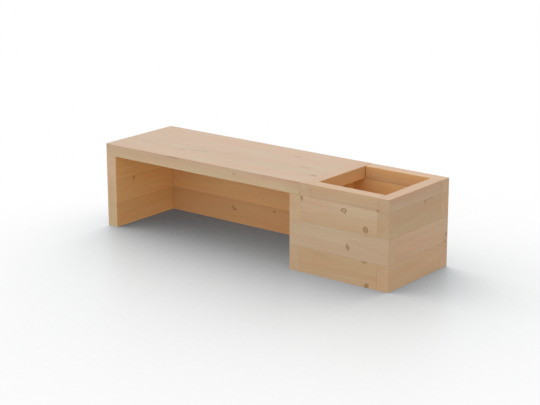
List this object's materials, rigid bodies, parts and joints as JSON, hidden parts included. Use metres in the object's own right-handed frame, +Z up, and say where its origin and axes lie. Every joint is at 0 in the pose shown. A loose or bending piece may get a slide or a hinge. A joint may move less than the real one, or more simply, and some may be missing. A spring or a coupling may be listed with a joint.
{
  "type": "bench with planter",
  "caption": "Low bench of solid planed boards with an open knee space, a closed back and a square open-topped planter built into its right end.",
  "frame": {"origin": "on the ground, under the middle of the whole bench", "axes": "+X along the bench towards the planter, +Y to the closed back, +Z up"},
  "size_m": [1.68, 0.48, 0.42],
  "materials": {
    "spruce_walls": "planed spruce, untreated, dull",
    "spruce_top": "planed spruce, untreated, dull",
    "spruce_floor": "sawn and planed spruce, untreated, dull",
    "screw_steel": "zinc plated"
  },
  "bodies": {
    "root": {"left_side_board_1": "spruce_walls", "left_side_board_2": "spruce_walls", "left_side_board_3": "spruce_walls", "partition_board_1": "spruce_walls", "partition_board_2": "spruce_walls", "partition_board_3": "spruce_walls", "front_board_1": "spruce_walls", "front_board_2": "spruce_walls", "front_board_3": "spruce_walls", "right_side_board_1": "spruce_walls", "right_side_board_2": "spruce_walls", "right_side_board_3": "spruce_walls", "back_board_1": "spruce_walls", "back_board_2": "spruce_walls", "back_board_3": "spruce_walls", "seat_board_1": "spruce_top", "seat_board_2": "spruce_top", "seat_board_3": "spruce_top", "seat_board_4": "spruce_top", "rim_left": "spruce_top", "rim_front": "spruce_top", "rim_right": "spruce_top", "rim_back": "spruce_top", "seat_batten_1": "spruce_floor", "seat_batten_2": "spruce_floor", "floor_cleat_front": "spruce_floor", "floor_cleat_back": "spruce_floor", "floor_slat_1": "spruce_floor", "floor_slat_2": "spruce_floor", "floor_slat_3": "spruce_floor", "batten_screw_1": "screw_steel", "batten_screw_2": "screw_steel", "batten_screw_3": "screw_steel", "batten_screw_4": "screw_steel", "batten_screw_5": "screw_steel", "batten_screw_6": "screw_steel", "batten_screw_7": "screw_steel", "batten_screw_8": "screw_steel", "cleat_screw_1": "screw_steel", "cleat_screw_2": "screw_steel", "cleat_screw_3": "screw_steel", "cleat_screw_4": "screw_steel", "long_screw_1": "screw_steel", "long_screw_2": "screw_steel", "long_screw_3": "screw_steel", "long_screw_4": "screw_steel", "long_screw_5": "screw_steel", "long_screw_6": "screw_steel", "long_screw_7": "screw_steel", "long_screw_8": "screw_steel", "long_screw_9": "screw_steel", "long_screw_10": "screw_steel", "long_screw_11": "screw_steel", "long_screw_12": "screw_steel", "long_screw_13": "screw_steel", "long_screw_14": "screw_steel", "long_screw_15": "screw_steel", "long_screw_16": "screw_steel", "long_screw_17": "screw_steel"}
  },
  "joints": []
}
